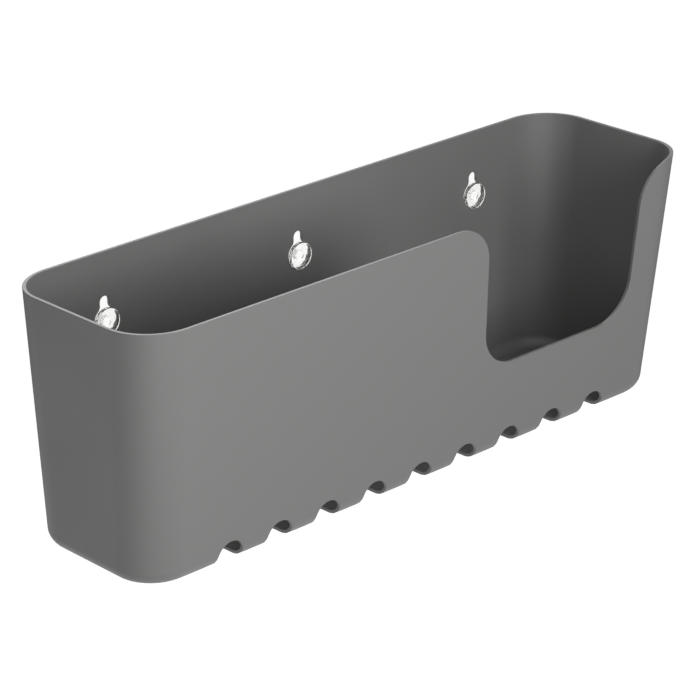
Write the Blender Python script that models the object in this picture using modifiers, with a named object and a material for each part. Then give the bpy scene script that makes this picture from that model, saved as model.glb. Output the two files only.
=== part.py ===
"""Wall-mounted bath basket: one moulded tub held by three clear suction cups.

Metres, +Z up. The wall is at +Y, the long side runs along X, and the origin is the
centre of the tub's underside. The tub hangs on the cups' mushroom heads, whose necks
slide in the narrow upper ends of three keyholes in its back.
"""

import bpy
import bmesh
from math import acos, atan2, cos, hypot, pi, radians, sin, tan
from mathutils import Vector

# Tub, outside sizes
RIM_LENGTH = 0.4412
RIM_DEPTH = 0.1282
HEIGHT = 0.1622
END_DRAFT = 0.00885
FRONT_DRAFT = 0.0198
RIM_CORNER_RADIUS = 0.0316
BASE_CORNER_RADIUS = 0.0280
BASE_EDGE_RADIUS = 0.0098
WALL = 0.0024
RIM_ROUNDING = 0.0005

# Low cut-out in the front wall, seen from the front
CUTOUT_RIGHT_MARGIN = 0.0477
CUTOUT_WIDTH = 0.1250
CUTOUT_SILL = 0.0613
CUTOUT_RADIUS = 0.0270
CUTOUT_LEFT_LEAN = radians(3.7)
CUTOUT_RIGHT_LEAN = radians(1.4)

# Drain slots that wrap the front bottom edge
SLOT_COUNT = 9
SLOT_PITCH = 0.0375
SLOT_WIDTH = 0.0187
SLOT_TOP = 0.0147
SLOT_REACH = 0.0250

# Keyholes in the back wall
KEYHOLE_COUNT = 3
KEYHOLE_SPACING = 0.1500
KEYHOLE_ROW_SHIFT = 0.0008
KEYHOLE_CENTRE_HEIGHT = 0.1198
KEYHOLE_RISE = 0.0116
KEYHOLE_FILLET = 0.0045

# Suction cup
NECK_DIAMETER = 0.0062
NECK_CLEARANCE = 0.0003
NECK_DROP = 0.0005
HEAD_DIAMETER = 0.0170
HEAD_SQUEEZE = 0.0005
HEAD_THICKNESS = 0.0027
HEAD_EDGE = 0.0006
HEAD_GAP = 0.0003
GATE_RADIUS = 0.0011
GATE_DEPTH = 0.0004
SEAT_GAP = 0.0003
CUP_RADIUS = 0.0270
CUP_HEIGHT = 0.0125
CUP_ROOT = 0.0035
BELL_SLOPE_WIDTH = 0.0080
BELL_ROUNDING = 0.0160
HOLLOW_SLOPE_WIDTH = 0.0083
HOLLOW_ROUNDING = 0.0120
LIP_WIDTH = 0.0022
LIP_HEIGHT = 0.0008

# Facets
CORNER_STEPS = 12
EDGE_STEPS = 6
ARC_STEPS = 14
TURN_STEPS = 44
FILLET_STEPS = 6
HEAD_EDGE_STEPS = 4
BELL_STEPS = 7
HOLLOW_STEPS = 5
CUT_MARGIN = 0.010
RIM_OVERRUN = 0.00005

# Sizes that follow from the ones above
SLOT_RADIUS = SLOT_WIDTH / 2
KEYHOLE_HALF_SLOT = NECK_DIAMETER / 2 + NECK_CLEARANCE
KEYHOLE_RADIUS = HEAD_DIAMETER / 2 - HEAD_SQUEEZE
CUP_AXIS_HEIGHT = KEYHOLE_CENTRE_HEIGHT - NECK_DROP
BACK_OUTSIDE = RIM_DEPTH / 2
BACK_INSIDE = BACK_OUTSIDE - WALL
BASE_FRONT = -RIM_DEPTH / 2 + FRONT_DRAFT


def clear_scene():
    """Remove every object that the open file holds."""
    for item in list(bpy.data.objects):
        bpy.data.objects.remove(item, do_unlink=True)


def make_collection(name):
    """A new collection, linked to the scene."""
    group = bpy.data.collections.new(name)
    bpy.context.scene.collection.children.link(group)
    return group


def make_material(name, colour, roughness, transmission=0.0, ior=1.5):
    """A Principled material with one colour; metallic is zero on both plastics."""
    material = bpy.data.materials.new(name)
    material.use_nodes = True
    shader = material.node_tree.nodes["Principled BSDF"]
    shader.inputs["Base Color"].default_value = (*colour, 1.0)
    shader.inputs["Roughness"].default_value = roughness
    shader.inputs["Metallic"].default_value = 0.0
    shader.inputs["Transmission Weight"].default_value = transmission
    shader.inputs["IOR"].default_value = ior
    material.diffuse_color = (*colour, 1.0)
    return material


def object_from_bmesh(name, mesh_data, group):
    """Turn a bmesh into a linked object."""
    mesh = bpy.data.meshes.new(name)
    mesh_data.to_mesh(mesh)
    mesh_data.free()
    item = bpy.data.objects.new(name, mesh)
    group.objects.link(item)
    return item


def tub_ring(height, inset):
    """Points of the tub's plan outline at a height, moved inwards by inset, anticlockwise from above.

    Ends and front lean in towards the base by their draft, the back stands upright, and the
    corner radius changes evenly from base to rim.
    """
    drop = 1 - height / HEIGHT
    radius = RIM_CORNER_RADIUS + (BASE_CORNER_RADIUS - RIM_CORNER_RADIUS) * drop - inset
    end = RIM_LENGTH / 2 - END_DRAFT * drop - inset - radius
    front = -RIM_DEPTH / 2 + FRONT_DRAFT * drop + inset + radius
    back = BACK_OUTSIDE - inset - radius
    corners = ((end, back, 0), (-end, back, 1), (-end, front, 2), (end, front, 3))
    points = []
    for x, y, quarter in corners:
        for step in range(CORNER_STEPS + 1):
            angle = (quarter + step / CORNER_STEPS) * pi / 2
            points.append((x + radius * cos(angle), y + radius * sin(angle), height))
    return points


def tub_skin(group):
    """The tub's outer skin, open at the top: a loft from the floor round the bottom edge to the rim."""
    rings = []
    for step in range(EDGE_STEPS + 1):
        angle = step / EDGE_STEPS * pi / 2
        rise = BASE_EDGE_RADIUS * (1 - cos(angle))
        inset = BASE_EDGE_RADIUS * (1 - sin(angle))
        rings.append(tub_ring(rise, inset))
    rings.append(tub_ring(HEIGHT + WALL, 0))
    skin = bmesh.new()
    rows = [[skin.verts.new(point) for point in ring] for ring in rings]
    skin.faces.new(reversed(rows[0]))
    for lower, upper in zip(rows, rows[1:]):
        for index, vertex in enumerate(lower):
            following = (index + 1) % len(lower)
            skin.faces.new((vertex, lower[following], upper[following], upper[index]))
    return object_from_bmesh("basket", skin, group)


def corner_arc(previous, corner, following, radius, steps):
    """The arc that rounds a corner: it touches both runs, so its centre lies on the bisector."""
    corner = Vector(corner)
    if radius == 0:
        return [corner]
    before = (Vector(previous) - corner).normalized()
    after = (Vector(following) - corner).normalized()
    half_angle = acos(max(-1, min(1, before.dot(after)))) / 2
    centre = corner + (before + after).normalized() * radius / sin(half_angle)
    start = corner + before * radius / tan(half_angle) - centre
    end = corner + after * radius / tan(half_angle) - centre
    sweep = atan2(start.x * end.y - start.y * end.x, start.dot(end))
    first = atan2(start.y, start.x)
    angles = [first + sweep * step / steps for step in range(steps + 1)]
    return [centre + radius * Vector((cos(angle), sin(angle))) for angle in angles]


def rounded_outline(corners):
    """A closed outline from (x, z, radius) corners, each rounded by an arc of its own radius."""
    points = []
    for index, (x, z, radius) in enumerate(corners):
        previous = corners[index - 1][:2]
        following = corners[(index + 1) % len(corners)][:2]
        points += corner_arc(previous, (x, z), following, radius, ARC_STEPS)
    return points


def rounded_profile(corners):
    """An open chain from (radius, height, rounding, steps) corners, whose two ends stay as they are."""
    points = [corners[0][:2]]
    for previous, corner, following in zip(corners, corners[1:], corners[2:]):
        place, rounding, steps = corner[:2], corner[2], corner[3]
        points += corner_arc(previous[:2], place, following[:2], rounding, steps)
    points.append(corners[-1][:2])
    return points


def plate(name, points, thickness, group):
    """A flat plate from a closed outline in its local XY, centred on its own plane, as a mesh."""
    curve = bpy.data.curves.new(name, "CURVE")
    curve.dimensions = "2D"
    curve.fill_mode = "BOTH"
    curve.extrude = thickness / 2
    spline = curve.splines.new("POLY")
    spline.points.add(len(points) - 1)
    for control, point in zip(spline.points, points):
        control.co = (point[0], point[1], 0, 1)
    spline.use_cyclic_u = True
    outline = bpy.data.objects.new(name, curve)
    group.objects.link(outline)
    bpy.context.view_layer.update()
    evaluated = outline.evaluated_get(bpy.context.evaluated_depsgraph_get())
    mesh = bpy.data.meshes.new_from_object(evaluated)
    bpy.data.objects.remove(outline, do_unlink=True)
    solid = bmesh.new()
    solid.from_mesh(mesh)
    bmesh.ops.remove_doubles(solid, verts=solid.verts, dist=1e-6)
    bmesh.ops.recalc_face_normals(solid, faces=solid.faces)
    bpy.data.meshes.remove(mesh)
    return object_from_bmesh(name, solid, group)


def as_cutter(item):
    """Show a cutter as wire and keep it out of renders."""
    item.hide_render = True
    item.display_type = "WIRE"
    return item


def upright_cutter(name, points, near, far, group):
    """A plate whose outline lies in XZ, filling the space from y = near to y = far."""
    item = plate(name, points, far - near, group)
    item.rotation_euler = (pi / 2, 0, 0)
    item.location = (0, (near + far) / 2, 0)
    return as_cutter(item)


def rim_cutter(group):
    """A block over the tub whose underside is the flat plane of the rim."""
    bpy.ops.mesh.primitive_cube_add(size=1)
    block = bpy.context.object
    block.name = "rim_cutter"
    for parent in list(block.users_collection):
        parent.objects.unlink(block)
    group.objects.link(block)
    block.scale = (RIM_LENGTH + 2 * CUT_MARGIN, RIM_DEPTH + 2 * CUT_MARGIN, CUT_MARGIN)
    block.location = (0, 0, HEIGHT + CUT_MARGIN / 2)
    return as_cutter(block)


def cutout_cutter(group):
    """The front cut-out: a leaning U whose upper corners roll outwards into the rim."""
    top = HEIGHT + RIM_OVERRUN
    right = RIM_LENGTH / 2 - CUTOUT_RIGHT_MARGIN
    left = right - CUTOUT_WIDTH
    rise = top - CUTOUT_SILL
    left_top = left - rise * tan(CUTOUT_LEFT_LEAN)
    right_top = right + rise * tan(CUTOUT_RIGHT_LEAN)
    reach = 2 * CUTOUT_RADIUS
    roof = top + CUT_MARGIN
    outline = rounded_outline((
        (left_top - reach, roof, 0),
        (left_top - reach, top, 0),
        (left_top, top, CUTOUT_RADIUS),
        (left, CUTOUT_SILL, CUTOUT_RADIUS),
        (right, CUTOUT_SILL, CUTOUT_RADIUS),
        (right_top, top, CUTOUT_RADIUS),
        (right_top + reach, top, 0),
        (right_top + reach, roof, 0),
    ))
    near = -RIM_DEPTH / 2 - CUT_MARGIN
    far = BASE_FRONT + WALL + CUT_MARGIN / 2
    return upright_cutter("cutout_cutter", outline, near, far, group)


def slot_cutter(index, x, group):
    """One drain slot: an arch through the front wall that runs on as a round-ended slot in the floor."""
    back = BASE_FRONT + SLOT_REACH
    turn = back - SLOT_RADIUS
    spring = SLOT_TOP - SLOT_RADIUS
    arch = []
    for step in range(ARC_STEPS + 1):
        angle = pi * step / ARC_STEPS
        arch.append((x + SLOT_RADIUS * cos(angle), spring + SLOT_RADIUS * sin(angle)))
    arch.append((x - SLOT_RADIUS, -CUT_MARGIN))
    arch.append((x + SLOT_RADIUS, -CUT_MARGIN))
    near = -RIM_DEPTH / 2 - CUT_MARGIN
    front = upright_cutter(f"slot_arch_cutter_{index}", arch, near, turn, group)
    bpy.ops.mesh.primitive_cylinder_add(vertices=2 * ARC_STEPS, radius=SLOT_RADIUS, depth=2 * SLOT_TOP)
    end = bpy.context.object
    end.name = f"slot_end_cutter_{index}"
    for parent in list(end.users_collection):
        parent.objects.unlink(end)
    group.objects.link(end)
    end.location = (x, turn, 0)
    return front, as_cutter(end)


def arc(centre_x, centre_z, radius, first, sweep, steps):
    """Points of an arc, both ends included."""
    angles = [first + sweep * step / steps for step in range(steps + 1)]
    return [(centre_x + radius * cos(angle), centre_z + radius * sin(angle)) for angle in angles]


def keyhole_cutter(index, x, group):
    """A round hole that squeezes the soft head as it is pushed through, and a neck-wide slot above it.

    A fillet touches the slot's side and the circle, so its centre stands one fillet radius beside
    the slot and one fillet radius outside the circle.
    """
    centre = KEYHOLE_CENTRE_HEIGHT
    aside = KEYHOLE_HALF_SLOT + KEYHOLE_FILLET
    reach = KEYHOLE_RADIUS + KEYHOLE_FILLET
    lean = acos(aside / reach)
    fillet_z = centre + reach * sin(lean)
    points = arc(x, centre + KEYHOLE_RISE, KEYHOLE_HALF_SLOT, 0, pi, ARC_STEPS)
    points += arc(x - aside, fillet_z, KEYHOLE_FILLET, 0, -lean, FILLET_STEPS)
    points += arc(x, centre, KEYHOLE_RADIUS, pi - lean, pi + 2 * lean, 2 * ARC_STEPS)[1:-1]
    points += arc(x + aside, fillet_z, KEYHOLE_FILLET, pi + lean, -lean, FILLET_STEPS)
    near = BACK_INSIDE - CUT_MARGIN / 2
    far = BACK_OUTSIDE + CUT_MARGIN / 2
    return upright_cutter(f"keyhole_cutter_{index}", points, near, far, group)


def spread(count, pitch, middle=0):
    """Places of a row of equal pitch round its middle."""
    return [middle + (index - (count - 1) / 2) * pitch for index in range(count)]


def subtract(item, tool):
    """Cut an object, or every object of a collection, away from an item."""
    cut = item.modifiers.new("Cut " + tool.name, "BOOLEAN")
    cut.operation = "DIFFERENCE"
    cut.solver = "EXACT"
    if isinstance(tool, bpy.types.Collection):
        cut.operand_type = "COLLECTION"
        cut.collection = tool
    else:
        cut.object = tool
    return cut


def build_basket(parts, cutters, openings, material):
    """The moulded tub: skin, wall thickness, flat rounded rim, then every opening."""
    tub = tub_skin(parts)
    shell = tub.modifiers.new("Wall", "SOLIDIFY")
    shell.thickness = WALL
    shell.offset = -1
    shell.use_even_offset = True
    shell.use_quality_normals = True
    subtract(tub, rim_cutter(cutters))
    rim = tub.modifiers.new("Rim rounding", "BEVEL")
    rim.width = RIM_ROUNDING
    rim.segments = 2
    rim.limit_method = "ANGLE"
    rim.angle_limit = radians(60)
    cutout_cutter(openings)
    for index, x in enumerate(spread(SLOT_COUNT, SLOT_PITCH), 1):
        slot_cutter(index, x, openings)
    for index, x in enumerate(spread(KEYHOLE_COUNT, KEYHOLE_SPACING, KEYHOLE_ROW_SHIFT), 1):
        keyhole_cutter(index, x, openings)
    subtract(tub, openings)
    tub.data.materials.append(material)
    return tub


def cup_profile():
    """Radius and height pairs of a suction cup, from the gate mark down the outside and up the hollow.

    Heights run along the cup's axis towards the room, with zero at the tub's inside back face.
    """
    neck = NECK_DIAMETER / 2
    head = HEAD_DIAMETER / 2
    crown = HEAD_GAP + HEAD_THICKNESS
    seat = -WALL - SEAT_GAP
    lip = seat - CUP_HEIGHT
    hollow = CUP_RADIUS - LIP_WIDTH
    root = seat - CUP_ROOT
    return rounded_profile((
        (0, crown - GATE_DEPTH, 0, 0),
        (GATE_RADIUS, crown - GATE_DEPTH, 0, 0),
        (GATE_RADIUS, crown, 0, 0),
        (head, crown, HEAD_EDGE, HEAD_EDGE_STEPS),
        (head, HEAD_GAP, 0, 0),
        (neck, HEAD_GAP, 0, 0),
        (neck, seat, 0, 0),
        (CUP_RADIUS - BELL_SLOPE_WIDTH, seat, BELL_ROUNDING, BELL_STEPS),
        (CUP_RADIUS, lip + LIP_HEIGHT, 0, 0),
        (CUP_RADIUS, lip, 0, 0),
        (hollow, lip, 0, 0),
        (hollow - HOLLOW_SLOPE_WIDTH, root, HOLLOW_ROUNDING, HOLLOW_STEPS),
        (0, root, 0, 0),
    ))


def cup_mesh():
    """The half section of a suction cup as a chain of edges, ready to be turned."""
    section = bmesh.new()
    chain = [section.verts.new((radius, 0, height)) for radius, height in cup_profile()]
    for upper, lower in zip(chain, chain[1:]):
        section.edges.new((upper, lower))
    mesh = bpy.data.meshes.new("suction_cup")
    section.to_mesh(mesh)
    section.free()
    return mesh


def build_cup(name, mesh, x, group):
    """One suction cup, turned about its own axis, whose neck rests in the bottom of its keyhole."""
    cup = bpy.data.objects.new(name, mesh)
    group.objects.link(cup)
    cup.location = (x, BACK_INSIDE, CUP_AXIS_HEIGHT)
    cup.rotation_euler = (pi / 2, 0, 0)
    turn = cup.modifiers.new("Turn", "SCREW")
    turn.steps = TURN_STEPS
    turn.render_steps = TURN_STEPS
    turn.use_merge_vertices = True
    turn.merge_threshold = 0.00001
    turn.use_smooth_shade = True
    return cup


def main():
    clear_scene()
    parts = make_collection("bath_basket")
    cutters = make_collection("cutters")
    openings = bpy.data.collections.new("openings")
    cutters.children.link(openings)
    grey = make_material("grey_plastic", (0.20, 0.20, 0.195), 0.45)
    clear = make_material("clear_pvc", (0.93, 0.95, 0.93), 0.08, transmission=1.0, ior=1.53)
    build_basket(parts, cutters, openings, grey)
    mesh = cup_mesh()
    mesh.materials.append(clear)
    names = ("suction_cup_left", "suction_cup_middle", "suction_cup_right")
    for name, x in zip(names, spread(KEYHOLE_COUNT, KEYHOLE_SPACING, KEYHOLE_ROW_SHIFT)):
        build_cup(name, mesh, x, parts)


main()
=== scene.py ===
# %% [markdown]
# # A bath basket that hangs on the wall
# The real object is one moulded tub of grey polypropylene and three clear suction cups. A cup's
# mushroom head goes through the round part of a keyhole in the tub's back, and its neck slides
# up the narrow part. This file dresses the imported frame: a finer tub with softly broken edges,
# turned cups of clear PVC, a satin plastic and the light of a small white studio.

import bpy
import numpy as np
from mathutils import Matrix, Vector
from mathutils.geometry import delaunay_2d_cdt


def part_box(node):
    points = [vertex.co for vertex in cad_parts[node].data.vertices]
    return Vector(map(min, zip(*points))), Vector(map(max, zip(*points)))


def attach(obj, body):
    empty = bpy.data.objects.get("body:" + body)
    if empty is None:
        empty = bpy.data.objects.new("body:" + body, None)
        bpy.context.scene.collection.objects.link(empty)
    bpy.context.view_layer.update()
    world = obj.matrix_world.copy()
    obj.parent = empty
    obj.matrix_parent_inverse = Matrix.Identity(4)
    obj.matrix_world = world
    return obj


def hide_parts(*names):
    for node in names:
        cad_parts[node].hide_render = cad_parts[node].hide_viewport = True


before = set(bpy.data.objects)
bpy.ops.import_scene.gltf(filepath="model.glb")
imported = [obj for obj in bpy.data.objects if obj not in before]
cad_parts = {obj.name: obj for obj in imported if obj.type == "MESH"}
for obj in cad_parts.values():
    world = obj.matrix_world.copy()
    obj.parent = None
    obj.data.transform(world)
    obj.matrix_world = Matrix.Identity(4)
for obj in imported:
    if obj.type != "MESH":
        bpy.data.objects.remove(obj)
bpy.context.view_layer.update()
scene = bpy.context.scene

# %% [markdown]
# ## Where the photograph was taken from
# The eight corners of the tub's outline fix the camera: a long lens, from the left and a little
# above. The camera looks back along the line from the tub's middle, and two small pans and a
# roll put the tub where it sits in the picture. Only the angles and distances are written; the
# axes follow from them.

# %% Camera
AZIMUTH, ELEVATION, ROLL = np.radians((-42.0939, 22.6317, -1.3108))
CAMERA_DISTANCE = 1.8099
PAN_RIGHT, PAN_UP = -0.01177, -0.00479
LENS_MM, SENSOR_MM = 155.505, 36


def camera_axes(azimuth, elevation, roll):
    """Right, up and back of a camera at an azimuth and elevation that rolls on its line of sight.

    Back points from the target to the camera: (sin azimuth, -cos azimuth) times cos elevation,
    and sin elevation upward. Level right stands square on it and on the vertical, and the roll
    turns right and up about it.
    """
    level = np.cos(elevation)
    back = np.array((np.sin(azimuth) * level, -np.cos(azimuth) * level, np.sin(elevation)))
    level_right = np.cross((0, 0, 1), back)
    level_right /= np.linalg.norm(level_right)
    level_up = np.cross(back, level_right)
    right = np.cos(roll) * level_right + np.sin(roll) * level_up
    up = np.cos(roll) * level_up - np.sin(roll) * level_right
    return right, up, back


def linked(name, data):
    """A new object that shows this data, in the scene."""
    piece = bpy.data.objects.new(name, data)
    scene.collection.objects.link(piece)
    return piece


tub_low, tub_high = (np.array(corner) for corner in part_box("basket"))
LENGTH, DEPTH, HEIGHT = tub_high - tub_low
target = np.array((0, 0, HEIGHT / 2))
right, up, back = camera_axes(AZIMUTH, ELEVATION, ROLL)
view = np.eye(4)
view[:3, 0], view[:3, 1], view[:3, 2] = right, up, back
view[:3, 3] = target + back * CAMERA_DISTANCE + right * PAN_RIGHT + up * PAN_UP
camera_data = bpy.data.cameras.new("camera")
camera_data.lens, camera_data.sensor_width = LENS_MM, SENSOR_MM
camera = linked("camera", camera_data)
camera.matrix_world = Matrix(view.tolist())
scene.camera = camera
print("tub", (LENGTH, DEPTH, HEIGHT), "camera at", view[:3, 3].round(3))

# %% [markdown]
# ## The sizes of the tub
# The frame gives the outer box. The other sizes are the ones that a mould maker would write on
# the drawing: how much each wall leans so that the tub leaves its mould, how round the corners
# are, and how far the edges are broken.

# %% Tub sizes, in metres
END_DRAFT, FRONT_DRAFT = 0.00885, 0.0198
RIM_CORNER, BASE_CORNER, BASE_EDGE = 0.0316, 0.0280, 0.0098
WALL = 0.0024
EDGE_BREAK = 0.00045
FLOOR_REACH = 0.0270
TOP_RISE = HEIGHT - BASE_EDGE
FLOOR_RISE = -(BASE_EDGE * np.pi / 2 + FLOOR_REACH - BASE_EDGE)
print("the rise runs from", round(FLOOR_RISE, 4), "to", round(TOP_RISE, 4), "m")

# %% [markdown]
# ## A surface with two parameters
# Every point of the tub's skin has a station, how far round the tub it is, and a rise, how far
# up the wall it is. The station runs anticlockwise from the middle of the left end. The rise is
# zero where the wall starts above the rounded bottom edge; below zero it goes round that edge
# and on along the floor. One rounded rectangle per rise is enough: its corner centres move in
# straight runs, its outward angle turns only at the corners, and both are plain interpolation
# over the knots below. The depth moves a point into the wall, so one function gives both skins.

# %% The skin of the tub
CENTRE_X = np.array((-1, -1, -1, 1, 1, 1, 1, -1, -1, -1))
CENTRE_Y = np.array((0, -1, -1, -1, -1, 1, 1, 1, 1, 0))
TURN = np.pi * np.array((1, 1, 1.5, 1.5, 2, 2, 2.5, 2.5, 3, 3))
END_RUN, CORNER_RUN, SIDE_RUN = DEPTH / 2 - RIM_CORNER, RIM_CORNER * np.pi / 2, LENGTH - 2 * RIM_CORNER
LONG_SIDE = (CORNER_RUN, SIDE_RUN, CORNER_RUN)
KNOTS = np.cumsum((0, END_RUN, *LONG_SIDE, 2 * END_RUN, *LONG_SIDE, END_RUN))
FRONT_START, FRONT_END, BACK_START, BACK_END = KNOTS[[2, 3, 6, 7]]


def ring_of(rise, depth):
    """Height, corner radius and corner centres of the rounded rectangle at a rise.

    On the wall the height grows with the rise. Round the bottom edge, with angle = -rise / edge
    radius, height = edge - r sin(angle) and inset = depth + r (1 - cos(angle)), where r is the edge
    radius less the depth. On the floor only the inset grows. Ends and front lean in by their
    draft times the drop below the rim, which is a share of the tub's height.
    """
    angle = np.clip(-rise / BASE_EDGE, 0, np.pi / 2)
    bend = BASE_EDGE - depth
    height = BASE_EDGE + np.maximum(rise, 0) - bend * np.sin(angle)
    inset = depth + bend * (1 - np.cos(angle)) + np.maximum(-rise - BASE_EDGE * np.pi / 2, 0)
    drop = 1 - height / HEIGHT
    radius = RIM_CORNER + (BASE_CORNER - RIM_CORNER) * drop - inset
    across = LENGTH / 2 - END_DRAFT * drop - inset - radius
    front = -DEPTH / 2 + FRONT_DRAFT * drop + inset + radius
    rear = DEPTH / 2 - inset - radius
    return height, radius, across, front, rear


def skin_point(station, rise, depth):
    """Corner centre + radius (cos, sin) of the outward angle, both interpolated over the knots."""
    height, radius, across, front, rear = ring_of(rise, depth)
    turn = np.interp(station, KNOTS, TURN)
    x = across * np.interp(station, KNOTS, CENTRE_X) + radius * np.cos(turn)
    middle, half = (front + rear) / 2, (rear - front) / 2
    y = middle + half * np.interp(station, KNOTS, CENTRE_Y) + radius * np.sin(turn)
    return np.stack(np.broadcast_arrays(x, y, height), axis=-1)


def unit(vectors):
    """Each vector divided by its own length."""
    return vectors / np.linalg.norm(vectors, axis=-1, keepdims=True)


def skin_normal(station, rise, depth, step=1e-5):
    """Outward normal: the cross product of small steps along the station and up the rise."""
    inside = np.clip(station, step, KNOTS[-1] - step)
    along = skin_point(inside + step, rise, depth) - skin_point(inside - step, rise, depth)
    upward = skin_point(inside, rise + step, depth) - skin_point(inside, rise - step, depth)
    return unit(np.cross(along, upward))


print("round the tub:", KNOTS[-1].round(4), "m; up the skin:", (TOP_RISE - FLOOR_RISE).round(4), "m")

# %% [markdown]
# ## Rounded outlines
# The cut-out, the drain slots and the keyholes are all outlines of straight runs joined by arcs,
# as a mould maker dimensions them: a list of corners, each with its own radius. An arc touches
# both runs, so its centre lies on the corner's bisector. Arcs get as many points as keep every
# chord within a hundredth of a millimetre of the true curve, and long runs get points too, so
# that they can follow a curved wall.

# %% Outlines from corners
CHORD_ERROR = 0.00001
LONGEST_RUN, RUN_SLACK = 0.004, 1e-6


def arc(centre, radius, start, sweep):
    """Centre + radius (cos, sin) of the angles of a sweep, in steps that keep the chord error."""
    count = int(np.ceil(abs(sweep) / (2 * np.arccos(1 - CHORD_ERROR / radius)))) + 1
    angles = start + np.linspace(0, sweep, count)
    return centre + radius * np.stack((np.cos(angles), np.sin(angles)), axis=1)


def arc_between(before, corner, after, radius):
    """The arc of this radius that touches both runs of a corner.

    It starts at the distance radius / tan(half angle) from the corner and turns about the centre
    at the distance radius / sin(half angle) along the bisector.
    """
    to_before, to_after = unit(before - corner), unit(after - corner)
    half = np.arccos(np.dot(to_before, to_after)) / 2
    centre = corner + unit(to_before + to_after) * radius / np.sin(half)
    first = corner + to_before * radius / np.tan(half) - centre
    last = corner + to_after * radius / np.tan(half) - centre
    sweep = np.arctan2(first[0] * last[1] - first[1] * last[0], first @ last)
    return arc(centre, radius, np.arctan2(first[1], first[0]), sweep)


def with_runs_split(chain, closed):
    """The same chain with points added along its long runs, and doubled points left out.

    A run is cut into as many equal parts as it holds longest runs, rounded up. The slack keeps a
    run of just that length whole and gives a doubled point no part.
    """
    if closed:
        chain = np.concatenate((chain, chain[:1]))
    steps = np.linalg.norm(np.diff(chain, axis=0), axis=1)
    along = np.concatenate(((0,), np.cumsum(steps)))
    counts = np.ceil(steps / LONGEST_RUN - RUN_SLACK).astype(int)
    shares = [np.linspace(a, b, n, endpoint=False) for a, b, n in zip(along, along[1:], counts)]
    wanted = np.concatenate(shares if closed else shares + [along[-1:]])
    return np.stack([np.interp(wanted, along, chain[:, axis]) for axis in (0, 1)], axis=1)


def rounded_outline(corners, closed=True):
    """A chain of points through (a, b, radius) corners; an open chain keeps its two ends as they are."""
    places = np.array([corner[:2] for corner in corners], float)
    pieces = []
    for index, (a, b, radius) in enumerate(corners):
        if radius == 0 or (not closed and index in (0, len(corners) - 1)):
            pieces.append(places[index:index + 1])
        else:
            following = places[(index + 1) % len(corners)]
            pieces.append(arc_between(places[index - 1], places[index], following, radius))
    return with_runs_split(np.concatenate(pieces), closed)


def moved_right(chain, distance, closed=True):
    """Each point moved square to the chain, to the right of the way that it runs."""
    if closed:
        ahead = np.roll(chain, -1, axis=0) - np.roll(chain, 1, axis=0)
    else:
        ahead = np.gradient(chain, axis=0)
    ahead = unit(ahead)
    return chain + distance * np.stack((ahead[:, 1], -ahead[:, 0]), axis=1)


print("points of a quarter turn at the rim:", len(arc((0, 0), RIM_CORNER, 0, np.pi / 2)))

# %% [markdown]
# ## The openings of the tub
# Each outline is drawn flat, in x and rise, and runs so that the plastic lies on its right.
# The front has the low cut-out, whose upper corners roll over into the rim, and nine drain slots
# that start as arches in the wall, turn with the bottom edge and end round in the floor. The
# back has the keyholes: a cup's soft head is pressed through the round part, and fillets lead the
# neck from that circle up into the narrow part. The neck rests a little below the circle's middle.

# %% The outlines
CUTOUT_SILL, CUTOUT_RADIUS = 0.0613, 0.0270
CUTOUT_SIDES = np.array((0.0479, 0.1729))
CUTOUT_LEANS = np.tan(np.radians((-3.7, 1.4)))
SLOT_COUNT, SLOT_PITCH, SLOT_WIDTH, SLOT_TOP, SLOT_REACH = 9, 0.0375, 0.0187, 0.0147, 0.0250
KEYHOLE_COUNT, KEYHOLE_SPACING, ROW_SHIFT = 3, 0.1500, 0.0008
KEYHOLE_HEIGHT, KEYHOLE_RADIUS, KEYHOLE_LIFT, KEYHOLE_FILLET = 0.1198, 0.0080, 0.0116, 0.0045
NECK_SLOT, NECK_DROP = 0.0068, 0.0005


def cutout_outline():
    """From the rim down the left side, along the sill and up the right side, as an open chain.

    An upper corner is as wide as a right angle and the side's lean, so its arc leaves the rim at
    the distance radius / tan(half that angle) from the corner.
    """
    sill = CUTOUT_SILL - BASE_EDGE
    left, right = CUTOUT_SIDES
    left_top, right_top = CUTOUT_SIDES + CUTOUT_LEANS * (TOP_RISE - sill)
    roll = CUTOUT_RADIUS / np.tan(np.pi / 4 + np.arctan(np.abs(CUTOUT_LEANS)) / 2)
    first, last = left_top - roll[0] - EDGE_BREAK, right_top + roll[1] + EDGE_BREAK
    return rounded_outline((
        (first, TOP_RISE, 0), (left_top, TOP_RISE, CUTOUT_RADIUS), (left, sill, CUTOUT_RADIUS),
        (right, sill, CUTOUT_RADIUS), (right_top, TOP_RISE, CUTOUT_RADIUS), (last, TOP_RISE, 0),
    ), closed=False)


def slot_outline(x):
    """A bar with round ends: up the wall to the slot's top, back along the floor to its reach."""
    half = SLOT_WIDTH / 2
    left, right = x - half, x + half
    top = SLOT_TOP - BASE_EDGE
    end = -(BASE_EDGE * np.pi / 2 + SLOT_REACH - BASE_EDGE)
    return rounded_outline(((left, top, half), (left, end, half), (right, end, half), (right, top, half)))


def keyhole_outline(x):
    """A neck-wide slot over a circle, joined by fillets.

    A fillet touches the slot's side and the circle, so its centre stands one fillet radius beside
    the slot and one fillet radius outside the circle; lean is the angle of that centre above level.
    """
    centre, half, fillet = KEYHOLE_HEIGHT - BASE_EDGE, NECK_SLOT / 2, KEYHOLE_FILLET
    aside, reach = half + fillet, KEYHOLE_RADIUS + fillet
    lean = np.arccos(aside / reach)
    level = centre + reach * np.sin(lean)
    return with_runs_split(np.concatenate((
        arc((x, centre + KEYHOLE_LIFT), half, 0, np.pi),
        arc((x - aside, level), fillet, 0, -lean),
        arc((x, centre), KEYHOLE_RADIUS, np.pi - lean, np.pi + 2 * lean)[1:-1],
        arc((x + aside, level), fillet, np.pi + lean, -lean),
    )), closed=True)


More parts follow.
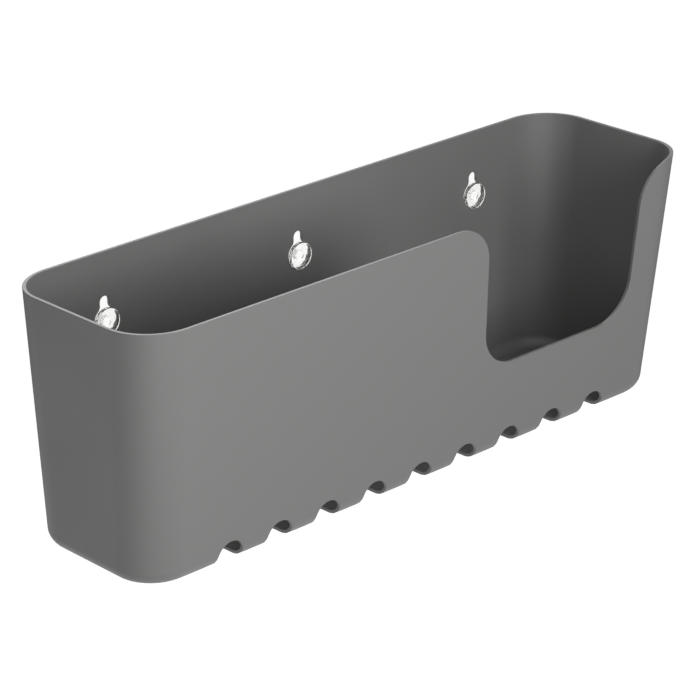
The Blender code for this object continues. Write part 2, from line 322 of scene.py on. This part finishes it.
def spread(count, pitch, middle=0):
    """Places of a row of equal pitch round its middle."""
    return middle + (np.arange(count) - (count - 1) / 2) * pitch


cutout = cutout_outline()
slots = [slot_outline(x) for x in spread(SLOT_COUNT, SLOT_PITCH)]
keyhole_places = spread(KEYHOLE_COUNT, KEYHOLE_SPACING, ROW_SHIFT)
keyholes = [keyhole_outline(x) for x in keyhole_places]
print("points: cut-out", len(cutout), "slot", len(slots[0]), "keyhole", len(keyholes[0]))

# %% [markdown]
# ## From flat outlines to stations
# A front view gives x, but the skin wants a station. On the straight part of a side, x divided by
# the run between the corner centres is the share of that side. Past a corner's centre, the sine
# of the corner's angle is the overshoot divided by the radius. The same x gives another station
# on the inner skin, so both edges of the cut-out line up when they are seen from the front, as a
# cut straight through the wall leaves them.

# %% Stations


def front_station(x, rise, depth):
    """Share of the straight front, and past a corner's centre a share of the corner's turn.

    That share is arcsin((|x| - centre) / radius) divided by a quarter turn.
    """
    _, radius, across, _, _ = ring_of(rise, depth)
    share = np.clip(x / across, -1, 1)
    turned = np.arcsin(np.clip((np.abs(x) - across) / radius, 0, 1)) / (np.pi / 2)
    middle, half = (FRONT_START + FRONT_END) / 2, (FRONT_END - FRONT_START) / 2
    return middle + share * half + np.sign(x) * turned * CORNER_RUN


def back_station(x, rise, depth):
    """Share of the straight back, which the stations pass from right to left."""
    _, _, across, _, _ = ring_of(rise, depth)
    return (BACK_START + BACK_END) / 2 - x / across * (BACK_END - BACK_START) / 2


def even_steps(low, high, longest):
    """Equal steps from low to high, none over the longest."""
    return np.linspace(low, high, int(np.ceil((high - low) / longest)) + 1)


COLUMN_STEP, CORNER_COLUMNS, ROW_STEP, EDGE_ROWS = 0.0060, 24, 0.0060, 10
columns = [KNOTS[:1]]
for number, (low, high) in enumerate(zip(KNOTS, KNOTS[1:])):
    is_corner = number % 2 == 1
    if is_corner:
        steps = np.linspace(low, high, CORNER_COLUMNS + 1)
    else:
        steps = even_steps(low, high, COLUMN_STEP)
    columns.append(steps[1:])
columns = np.concatenate(columns)
edge_low = -BASE_EDGE * np.pi / 2
rows = np.concatenate((
    even_steps(FLOOR_RISE, edge_low, ROW_STEP), np.linspace(edge_low, 0, EDGE_ROWS + 1)[1:],
    even_steps(0, TOP_RISE - EDGE_BREAK, ROW_STEP)[1:-1],
))
print("grid:", len(columns), "columns by", len(rows), "rows")

# %% [markdown]
# ## Two loops for each edge
# The rim and the cut-out are one long edge, and every slot and keyhole is another. For each edge
# a skin needs two loops: the true edge, where the two faces would meet, and a loop one edge
# break inside the plastic, where the flat skin stops and the rounding starts. There are two
# skins, each with its depth in the wall and the side that it faces: the outer one at no depth,
# and the inner one at the depth of the wall, turned over.

# %% Edge loops
RIM_GAP = 0.0015
SKINS = ((0, 1), (WALL, -1))
cutout_ends = np.array([front_station(*cutout[[0, -1]].T, depth) for depth, _ in SKINS])
before_cutout = columns[columns < cutout_ends[:, 0].min() - RIM_GAP]
after_cutout = columns[columns > cutout_ends[:, 1].max() + RIM_GAP]


def on_skin(chain, station_of, depth):
    """A flat chain with each x exchanged for the station that a side's own formula gives."""
    return np.stack((station_of(*chain.T, depth), chain[:, 1]), axis=1)


def rim_loop(depth, offset):
    """Stations at rim height up to the cut-out, the cut-out's own outline, and the rest of the rim."""
    opening = on_skin(moved_right(cutout, offset, closed=False), front_station, depth)
    before, after = (
        np.stack((part, np.full_like(part, TOP_RISE - offset)), axis=1)
        for part in (before_cutout, after_cutout)
    )
    return np.concatenate((before, opening, after))


def all_loops(depth, offset):
    """The rim's loop, then those of the slots and of the keyholes.

    The outlines of the back are turned round, because stations run against x there.
    """
    fronts = [on_skin(moved_right(outline, offset), front_station, depth) for outline in slots]
    backs = [on_skin(moved_right(outline, offset)[::-1], back_station, depth) for outline in keyholes]
    return [rim_loop(depth, offset), *fronts, *backs]


rim, *holes = all_loops(0, 0)
print("rim loop:", len(rim), "points; closed openings:", len(holes))

# %% [markdown]
# ## Filling the skin
# Between the loops the skin is a plain grid of stations and rises. A constrained triangulation
# joins the grid to the loops: it keeps every loop edge and leaves the openings empty. Grid points
# that lie in an opening, or so near a loop that they would give slivers, are taken out first.

# %% Points in and near a loop
NEAR_LOOP = 0.0016


def inside_loop(points, loop):
    """Even-odd rule: a point is inside if a ray to the right crosses the loop an odd number of times."""
    a, b = loop, np.roll(loop, -1, axis=0)
    x, y = points[:, :1], points[:, 1:]
    crosses = (a[:, 1] > y) != (b[:, 1] > y)
    rise = np.where(b[:, 1] == a[:, 1], 1, b[:, 1] - a[:, 1])
    at = a[:, 0] + (y - a[:, 1]) / rise * (b[:, 0] - a[:, 0])
    return (crosses & (x < at)).sum(axis=1) % 2 == 1


def near_loop(points, loop, reach):
    """Whether the nearest loop point is closer than the reach."""
    gaps = points[:, None, :] - loop[None, :, :]
    return (np.square(gaps).sum(axis=2) < reach * reach).any(axis=1)


slot_middle = holes[0].mean(axis=0, keepdims=True)
print("the first slot holds its own middle:", inside_loop(slot_middle, holes[0])[0])

# %% Triangulate a skin
INSIDE_BOUNDARY = 1
SAME_POINT = 1e-9


def skin_triangles(rim, holes):
    """Points and triangles of the skin between its floor row, its rim loop and its holes.

    The boundary runs along the floor row, up the last column, back along the rim and down the
    first column. The points come as boundary, holes, then free grid points.
    """
    floor = np.stack((columns, np.full_like(columns, rows[0])), axis=1)
    side = rows[1:]
    last = np.stack((np.full_like(side, columns[-1]), side), axis=1)
    first = np.stack((np.zeros_like(side), side), axis=1)[::-1]
    boundary = np.concatenate((floor, last, rim[::-1], first))
    loops = [boundary, *holes]
    grid = np.stack(np.meshgrid(columns[1:-1], side, indexing="ij"), axis=-1).reshape(-1, 2)
    taken = ~inside_loop(grid, boundary) | near_loop(grid, rim, NEAR_LOOP)
    for hole in holes:
        taken |= inside_loop(grid, hole) | near_loop(grid, hole, NEAR_LOOP)
    points = np.concatenate((*loops, grid[~taken]))
    starts = np.cumsum([0] + [len(loop) for loop in loops])
    edges = []
    for start, loop in zip(starts, loops):
        own = np.arange(len(loop))
        edges += (start + np.stack((own, np.roll(own, -1)), axis=1)).tolist()
    flat = [Vector(point) for point in points.tolist()]
    _, _, faces, given, _, _ = delaunay_2d_cdt(flat, edges, [], INSIDE_BOUNDARY, SAME_POINT)
    came_from = np.array([numbers[0] for numbers in given])
    triangles = came_from[np.array(faces)]
    middles = points[triangles].mean(axis=1)
    for hole in holes:
        outside = ~inside_loop(middles, hole)
        triangles, middles = triangles[outside], middles[outside]
    return points, triangles, starts


def closed_seam(count, rim_count, size):
    """Which point stands for each point once the last column is sewn to the first.

    The boundary holds the floor row, the last column upwards, the rim backwards and the first
    column downwards, so the two columns pair up in opposite order.
    """
    stands_for = np.arange(size)
    side = len(rows) - 1
    last_column = count + np.arange(side)
    first_column = count + side + rim_count + np.arange(side)[::-1]
    stands_for[last_column] = first_column
    stands_for[count - 1] = 0
    stands_for[count + side] = count + side + rim_count - 1
    return stands_for


points, triangles, starts = skin_triangles(rim, holes)
print("a skin at its true edges:", len(points), "points,", len(triangles), "triangles")

# %% [markdown]
# ## Breaking the edges
# A moulded edge is never sharp. From the loop where the skin stops, a quarter circle turns from
# the skin's own normal to the direction of the opening, a flat band crosses the wall, and another
# quarter circle meets the inner skin. Every ring of that strip has one point per loop point, so
# the strip is plain quads, and each point's normal is known from the same angle. Those normals go
# into the mesh, and the large flat triangles beside a small rounding stay flat to the eye.

# %% Strips round the edges
ROUND_STEPS = 4


def rounding_rings(edge, start, depth, side):
    """Rings of a quarter turn: start + (sin a) of the way to the edge + (1 - cos a) of a step inward.

    The step goes as deep into the wall as the edge is broken. The normal of a ring is cos a times
    the skin's normal plus sin a times the direction that stands square on the step.
    """
    at_edge, at_start = skin_point(*edge.T, depth), skin_point(*start.T, depth)
    normal = side * skin_normal(*start.T, depth)
    way = at_edge - at_start
    step = skin_point(*start.T, depth + side * EDGE_BREAK) - at_start
    shared = np.sum(way * step, axis=1, keepdims=True)
    square = unit(way - step * shared / np.sum(step * step, axis=1, keepdims=True))
    angles = np.linspace(0, np.pi / 2, ROUND_STEPS + 1)[:, None, None]
    places = at_start + way * np.sin(angles) + step * (1 - np.cos(angles))
    return places, normal * np.cos(angles) + square * np.sin(angles)


def strip_quads(rings, closed):
    """Quads between neighbouring rings of point numbers, in the loop's own direction."""
    following = np.roll(rings, -1, axis=1) if closed else rings[:, 1:]
    here = rings if closed else rings[:, :-1]
    quads = np.stack((here[:-1], following[:-1], following[1:], here[1:]), axis=-1)
    return quads.reshape(-1, 4)


ring_places, _ = rounding_rings(rim, all_loops(0, EDGE_BREAK)[0], 0, 1)
print("rings along the rim:", len(ring_places), "of", len(ring_places[0]), "points")

# %% [markdown]
# ## The tub
# Both skins, the strips that join them and the two flat middles of the floor make one closed
# shell. The inner skin is the outer one at the depth of the wall, with its faces turned over. A
# strip starts on the points of the outer skin's loop and ends on those of the inner skin's, so
# nothing is left open. The rim's strip goes once round the tub, and its last points are its first.

# %% Work out the closed shell


def skin_parts(depth, side, first):
    """One skin, its points numbered from the first: places, normals, faces and its loops' numbers."""
    rim, *holes = all_loops(depth, EDGE_BREAK)
    points, triangles, starts = skin_triangles(rim, holes)
    stands_for = closed_seam(len(columns), len(rim), len(points)) + first
    middle = np.arange(len(columns) - 1)[None, ::-side]
    rim_start = len(columns) + len(rows) - 1
    loops = [stands_for[rim_start + np.arange(len(rim))[::-1]]]
    loops += [stands_for[start + np.arange(len(hole))] for start, hole in zip(starts[1:], holes)]
    faces = [stands_for[triangles[:, ::side]], stands_for[middle]]
    return skin_point(*points.T, depth), side * skin_normal(*points.T, depth), faces, loops


def tub_shell():
    """Outer skin, inner skin, edge strips and floor middles as points, faces and edge marks."""
    places, normals, faces, skin_loops = [], [], [], []
    total = 0
    for depth, side in SKINS:
        skin_places, skin_normals, skin_faces, loops = skin_parts(depth, side, total)
        places.append(skin_places)
        normals.append(skin_normals)
        faces += skin_faces
        skin_loops.append(loops)
        total += len(skin_places)
    skin_points = total
    for number, (outer_loop, inner_loop) in enumerate(zip(*skin_loops)):
        is_rim = number == 0
        rings = [outer_loop]
        for depth, side in SKINS:
            edge, start = (all_loops(depth, offset)[number] for offset in (0, EDGE_BREAK))
            ring_places, ring_normals = rounding_rings(edge, start, depth, side)
            ring_numbers = total + np.arange(ROUND_STEPS * len(edge)).reshape(ROUND_STEPS, -1)
            if is_rim:
                ring_numbers[:, -1] = ring_numbers[:, 0]
            rings += list(ring_numbers)
            places.append(ring_places[1:][::side].reshape(-1, 3))
            normals.append(ring_normals[1:][::side].reshape(-1, 3))
            total += ROUND_STEPS * len(edge)
        rings.append(inner_loop)
        faces.append(strip_quads(np.array(rings), closed=not is_rim))
    return np.concatenate(places), np.concatenate(normals), faces, np.arange(total) >= skin_points


places, normals, faces, on_edge = tub_shell()
print("shell:", len(places), "points, of which", on_edge.sum(), "on the edges")

# %% Build the tub


def shell_mesh(name, places, normals, faces, on_edge):
    """A smooth-shaded mesh of the points that the faces use, with its own normals and edge marks."""
    used, numbers = np.unique(np.concatenate([face.ravel() for face in faces]), return_inverse=True)
    lists, start = [], 0
    for face in faces:
        lists += numbers[start:start + face.size].reshape(face.shape).tolist()
        start += face.size
    mesh = bpy.data.meshes.new(name)
    mesh.from_pydata(places[used].tolist(), [], lists)
    mesh.polygons.foreach_set("use_smooth", np.ones(len(mesh.polygons), bool))
    mesh.normals_split_custom_set_from_vertices(normals[used].tolist())
    marks = mesh.attributes.new("edge", "FLOAT", "POINT")
    marks.data.foreach_set("value", on_edge[used].astype(np.float32))
    return linked(name, mesh)


tub = shell_mesh("moulded_tub", places, normals, faces, on_edge)
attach(tub, "tub")
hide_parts("basket")
print("tub:", len(tub.data.vertices), "points,", len(tub.data.polygons), "faces")

# %% [markdown]
# ## The suction cups
# A cup is one turned piece of soft clear PVC. Its head is a flat button with the moulding gate's
# dimple in the middle, a little wider than the hole that it is pressed through. The neck fits
# the keyhole's slot, the shoulder bears on the tub's back, and the bell thins out to a lip that
# grips the wall. The corners of the half section are listed as on a drawing of it, each with its
# radius, and the rounded chain is carried round the cup's axis. Heights are measured along that
# axis from the inner face of the tub's back, toward the room.

# %% Cup sizes and half section
HEAD_RADIUS, HEAD_BACK, HEAD_FRONT, HEAD_ROUND = 0.0085, 0.0003, 0.0030, 0.0006
GATE_RADIUS, GATE_DEPTH, GATE_ROUND = 0.00135, 0.00035, 0.0001
NECK_RADIUS, SEAT, SEAT_ROUND, SMALL_ROUND = 0.0031, -0.0027, 0.00025, 0.0002
LIP, LIP_RADIUS, LIP_WIDTH, LIP_HEIGHT, LIP_ROUND = -0.0152, 0.0270, 0.0022, 0.0008, 0.0003
BELL_SLOPE, BELL_ROUND = 0.0080, 0.0160
HOLLOW_SLOPE, HOLLOW_ROUND, HOLLOW_ROOT = 0.0083, 0.0120, -0.0062


def cup_section():
    """Radius and height of the half section, from the gate to the lip and up the hollow."""
    gate, hollow = HEAD_FRONT - GATE_DEPTH, LIP_RADIUS - LIP_WIDTH
    return rounded_outline((
        (0, gate, 0), (GATE_RADIUS, gate, SMALL_ROUND), (GATE_RADIUS, HEAD_FRONT, GATE_ROUND),
        (HEAD_RADIUS, HEAD_FRONT, HEAD_ROUND), (HEAD_RADIUS, HEAD_BACK, SMALL_ROUND),
        (NECK_RADIUS, HEAD_BACK, SMALL_ROUND), (NECK_RADIUS, SEAT, SEAT_ROUND),
        (LIP_RADIUS - BELL_SLOPE, SEAT, BELL_ROUND), (LIP_RADIUS, LIP + LIP_HEIGHT, LIP_ROUND),
        (LIP_RADIUS, LIP, SMALL_ROUND), (hollow, LIP, SMALL_ROUND),
        (hollow - HOLLOW_SLOPE, HOLLOW_ROOT, HOLLOW_ROUND), (0, HOLLOW_ROOT, 0),
    ), closed=False)


section = cup_section()
print("points of the half section:", len(section))

# %% Turn a cup
AROUND = 96


def turned_piece(name, section, centre):
    """Radius times (cos, sin) of the angle across the axis, and the height along it, toward the room."""
    angles = np.linspace(0, 2 * np.pi, AROUND, endpoint=False)
    radius, height = section[1:-1].T
    x = np.outer(radius, np.cos(angles))
    z = np.outer(radius, np.sin(angles))
    y = np.repeat(-height[:, None], AROUND, axis=1)
    poles = np.array([(0, -section[0, 1], 0), (0, -section[-1, 1], 0)])
    places = np.concatenate((np.stack((x, y, z), axis=-1).reshape(-1, 3), poles)) + centre
    ring = np.arange(radius.size * AROUND).reshape(radius.size, AROUND)
    top, bottom = ring.size, ring.size + 1
    quads = strip_quads(ring[::-1], closed=True)
    cap = np.stack((np.roll(ring[0], -1), np.full(AROUND, top), ring[0]), axis=1)
    foot = np.stack((ring[-1], np.full(AROUND, bottom), np.roll(ring[-1], -1)), axis=1)
    mesh = bpy.data.meshes.new(name)
    mesh.from_pydata(places.tolist(), [], [*quads.tolist(), *cap.tolist(), *foot.tolist()])
    mesh.polygons.foreach_set("use_smooth", np.ones(len(mesh.polygons), bool))
    return linked(name, mesh)


inner_face = tub_high[1] - WALL
cup_axis = KEYHOLE_HEIGHT - NECK_DROP
cups = []
for side, x in zip(("left", "middle", "right"), keyhole_places):
    cup = turned_piece(f"clear_cup_{side}", section, np.array((x, inner_face, cup_axis)))
    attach(cup, f"cup_{side}")
    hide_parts(f"suction_cup_{side}")
    cups.append(cup)
print("cups:", len(cups), "of", len(cups[0].data.polygons), "faces each")

# %% [markdown]
# ## Grey polypropylene
# The tub has the even, satin skin of a spark-eroded mould. A photograph would only fit one side,
# so the finish is worked out from noise in the tub's own coordinates, in metres. Wide, soft noise
# lets the roughness wander by a few hundredths, as it does where plastic cools unevenly. Noise
# half a millimetre wide drives a bump, which stands in for the grain. A colour that strays by two
# per cent keeps large walls from looking like paper. The rim and the edges of the openings, where
# the two halves of the mould close on polished steel, are shinier: the shell's edge marks blend
# the roughness over to theirs.

# %% Helpers for node materials
NOISE_MIDDLE = (0.3, 0.7)


def new_material(name):
    """A node material with its node tree and its Principled shader."""
    material = bpy.data.materials.new(name)
    material.use_nodes = True
    tree = material.node_tree
    return material, tree, tree.nodes["Principled BSDF"]


def noise_in_metres(tree, size, detail):
    """A noise whose largest spots are about one size wide, in the object's own metres."""
    place = tree.nodes.new("ShaderNodeTexCoord")
    noise = tree.nodes.new("ShaderNodeTexNoise")
    noise.inputs["Scale"].default_value = 1 / size
    noise.inputs["Detail"].default_value = detail
    tree.links.new(place.outputs["Object"], noise.inputs["Vector"])
    return noise.outputs["Fac"]


def map_range(tree, value, source, result, kind="LINEAR"):
    """A value carried from the source's two ends to the result's two ends, and held there."""
    stretch = tree.nodes.new("ShaderNodeMapRange")
    stretch.interpolation_type = kind
    stretch.inputs["From Min"].default_value, stretch.inputs["From Max"].default_value = source
    stretch.inputs["To Min"].default_value, stretch.inputs["To Max"].default_value = result
    tree.links.new(value, stretch.inputs["Value"])
    return stretch.outputs["Result"]


def bump_from(tree, height, distance, strength):
    """The normal of a bump: the height, 0 to 1, times the distance in metres, at a strength."""
    bump = tree.nodes.new("ShaderNodeBump")
    bump.inputs["Distance"].default_value, bump.inputs["Strength"].default_value = distance, strength
    tree.links.new(height, bump.inputs["Height"])
    return bump.outputs["Normal"]


print("materials use the noise values", NOISE_MIDDLE)

# %% Tub material
GREY_DARK, GREY_LIGHT = (0.201, 0.203, 0.199, 1), (0.209, 0.211, 0.207, 1)
GREY_INDEX, GREY_ROUGHNESS, EDGE_ROUGHNESS = 1.49, (0.40, 0.48), 0.37
WANDER_SIZE, WANDER_DETAIL = 0.060, 3
GRAIN_SIZE, GRAIN_DETAIL, GRAIN_HEIGHT, GRAIN_STRENGTH = 0.0005, 2, 0.00001, 0.6
grey, tree, shader = new_material("satin_grey_plastic")
shader.inputs["IOR"].default_value = GREY_INDEX
wander = noise_in_metres(tree, WANDER_SIZE, WANDER_DETAIL)
marks = tree.nodes.new("ShaderNodeAttribute")
marks.attribute_name = "edge"
shine = tree.nodes.new("ShaderNodeMix")
shine.inputs["B"].default_value = EDGE_ROUGHNESS
tree.links.new(marks.outputs["Fac"], shine.inputs["Factor"])
tree.links.new(map_range(tree, wander, NOISE_MIDDLE, GREY_ROUGHNESS), shine.inputs["A"])
tree.links.new(shine.outputs["Result"], shader.inputs["Roughness"])
tint = tree.nodes.new("ShaderNodeMix")
tint.data_type = "RGBA"
tint.inputs["A"].default_value, tint.inputs["B"].default_value = GREY_DARK, GREY_LIGHT
tree.links.new(wander, tint.inputs["Factor"])
tree.links.new(tint.outputs["Result"], shader.inputs["Base Color"])
grain = noise_in_metres(tree, GRAIN_SIZE, GRAIN_DETAIL)
tree.links.new(bump_from(tree, grain, GRAIN_HEIGHT, GRAIN_STRENGTH), shader.inputs["Normal"])
tub.data.materials.append(grey)
print("tub material:", len(tree.nodes), "nodes")

# %% [markdown]
# ## Clear PVC
# The cups are soft, clear PVC: nearly colourless, smooth but not polished, and full of waves from
# the mould. Full transmission bends what is behind. The index is set at 1.40, under the 1.53 of
# PVC, because with it the white background fills the heads as far as it does in the photograph.
# One noise about four millimetres wide gives the waves' bump and lets the roughness wander from
# shiny to a light haze, as on a surface that has been handled.

# %% Cup material
PVC_TINT, PVC_INDEX, PVC_ROUGHNESS = (0.985, 0.99, 0.98, 1), 1.40, (0.03, 0.12)
WAVE_SIZE, WAVE_DETAIL, WAVE_HEIGHT, WAVE_STRENGTH = 0.0040, 2, 0.0006, 0.8
clear, tree, shader = new_material("clear_soft_pvc")
shader.inputs["Base Color"].default_value = PVC_TINT
shader.inputs["IOR"].default_value = PVC_INDEX
shader.inputs["Transmission Weight"].default_value = 1
waves = noise_in_metres(tree, WAVE_SIZE, WAVE_DETAIL)
tree.links.new(map_range(tree, waves, NOISE_MIDDLE, PVC_ROUGHNESS), shader.inputs["Roughness"])
tree.links.new(bump_from(tree, waves, WAVE_HEIGHT, WAVE_STRENGTH), shader.inputs["Normal"])
for cup in cups:
    cup.data.materials.append(clear)
print("cup material:", len(tree.nodes), "nodes")

# %% [markdown]
# ## The white world
# The photograph was taken in front of white. Making the lights that strong would bleach the
# grey, so only the rays that show the background see white: the camera's own, the mirror-like
# ones and those that pass through the clear cups. All other rays meet a dim, even room, which
# fills the shadows.

# %% World
WHITE = (1, 1, 1, 1)
FILL = 0.195
scene.view_settings.view_transform = "Standard"


def math_node(tree, operation, first, second):
    """One Math node that joins an output with another output or with a number."""
    node = tree.nodes.new("ShaderNodeMath")
    node.operation = operation
    tree.links.new(first, node.inputs[0])
    if isinstance(second, float):
        node.inputs[1].default_value = second
    else:
        tree.links.new(second, node.inputs[1])
    return node.outputs[0]


def ray_is(tree, *kinds):
    """One where a ray is of one of the named kinds, else zero: the largest of their flags."""
    path = tree.nodes.new("ShaderNodeLightPath")
    flag = path.outputs[kinds[0]]
    for kind in kinds[1:]:
        flag = math_node(tree, "MAXIMUM", flag, path.outputs[kind])
    return flag


world = bpy.data.worlds.new("studio_world")
scene.world = world
world.use_nodes = True
tree = world.node_tree
room = tree.nodes["Background"]
white = tree.nodes.new("ShaderNodeBackground")
for background, strength in ((room, FILL), (white, 1)):
    background.inputs["Color"].default_value = WHITE
    background.inputs["Strength"].default_value = strength
mix = tree.nodes.new("ShaderNodeMixShader")
shown = ray_is(tree, "Is Camera Ray", "Is Glossy Ray", "Is Transmission Ray")
tree.links.new(shown, mix.inputs["Fac"])
tree.links.new(room.outputs["Background"], mix.inputs[1])
tree.links.new(white.outputs["Background"], mix.inputs[2])
tree.links.new(mix.outputs["Shader"], tree.nodes["World Output"].inputs["Surface"])
print("world: fill", FILL, "and white where it is seen")

# %% [markdown]
# ## The floor
# The basket hangs on a wall, so the pale floor lies well below it. It is a plain diffuse plane,
# which bounces a little light up and takes the basket's soft shadow. A glow that only the camera
# and the rays through the clear cups see lifts it to the white of the background. Mirror-like rays
# meet a weaker glow: the grey plastic then mirrors a floor that is dimmer than the white above it.
# That glow fades out toward the far right, where x plus y is large, which keeps the tub's edges
# dark where they bend away.

# %% Floor plane
FLOOR_DROP, FLOOR_HALF = 0.60, 4.0
across = FLOOR_HALF * np.array((-1, 1, 1, -1))
along = FLOOR_HALF * np.array((-1, -1, 1, 1))
corners = np.stack((across, along, np.full(4, -FLOOR_DROP)), axis=1)
floor_mesh = bpy.data.meshes.new("pale_floor")
floor_mesh.from_pydata(corners.tolist(), [], [(0, 1, 2, 3)])
floor = linked("pale_floor", floor_mesh)
print("floor:", 2 * FLOOR_HALF, "m wide,", FLOOR_DROP, "m below the basket")

# %% Floor material
FLOOR_TONE, FLOOR_ROUGHNESS = (0.8, 0.8, 0.8, 1), 0.9
GLOW_SEEN, GLOW_MIRRORED = 0.84, 0.70
FAR_RIGHT, FADE = (1, 1, 0), (0.7, 1.9)
pale, tree, shader = new_material("pale_floor")
shader.inputs["Base Color"].default_value = FLOOR_TONE
shader.inputs["Roughness"].default_value = FLOOR_ROUGHNESS
shader.inputs["Emission Color"].default_value = WHITE
seen = math_node(tree, "MULTIPLY", ray_is(tree, "Is Camera Ray", "Is Transmission Ray"), GLOW_SEEN)
place = tree.nodes.new("ShaderNodeTexCoord")
far_right = tree.nodes.new("ShaderNodeVectorMath")
far_right.operation = "DOT_PRODUCT"
far_right.inputs[1].default_value = FAR_RIGHT
tree.links.new(place.outputs["Object"], far_right.inputs[0])
glow = map_range(tree, far_right.outputs["Value"], FADE, (GLOW_MIRRORED, 0), "SMOOTHSTEP")
mirrored = math_node(tree, "MULTIPLY", ray_is(tree, "Is Glossy Ray"), glow)
tree.links.new(math_node(tree, "MAXIMUM", seen, mirrored), shader.inputs["Emission Strength"])
floor_mesh.materials.append(pale)
print("floor glow: seen", GLOW_SEEN, "and mirrored", GLOW_MIRRORED)

# %% [markdown]
# ## The lamps
# Two small softboxes stand close to the tub, and close lamps fade quickly with distance. The one
# in front and above makes the front wall fall off from its middle to both sides and reaches down
# the inside of the back. The one beside the left end shines past it, so the end stays a little
# darker than the front. A third stands high behind the right corner, where its light only grazes
# the walls but draws the bright line along the rim.

# %% Lamps


def softbox(name, place, goal, size, power):
    """A square lamp at a place, turned so that its face looks at the goal."""
    lamp = bpy.data.lights.new(name, "AREA")
    lamp.size, lamp.energy = size, power
    box = linked(name, lamp)
    box.location = place
    box.rotation_euler = (Vector(goal) - Vector(place)).to_track_quat("-Z", "Y").to_euler()


softbox("front_softbox", place=(0, -0.8, 0.4), goal=target, size=0.4, power=4.1)
softbox("left_softbox", place=(-0.5, -0.45, 0.1), goal=(-0.5, 0, 0.1), size=0.4, power=1.0)
softbox("rim_softbox", place=(0.45, 0.75, 0.75), goal=(0, 0, 0.16), size=0.5, power=2.8)
print("lamps:", [lamp.name for lamp in bpy.data.lights])
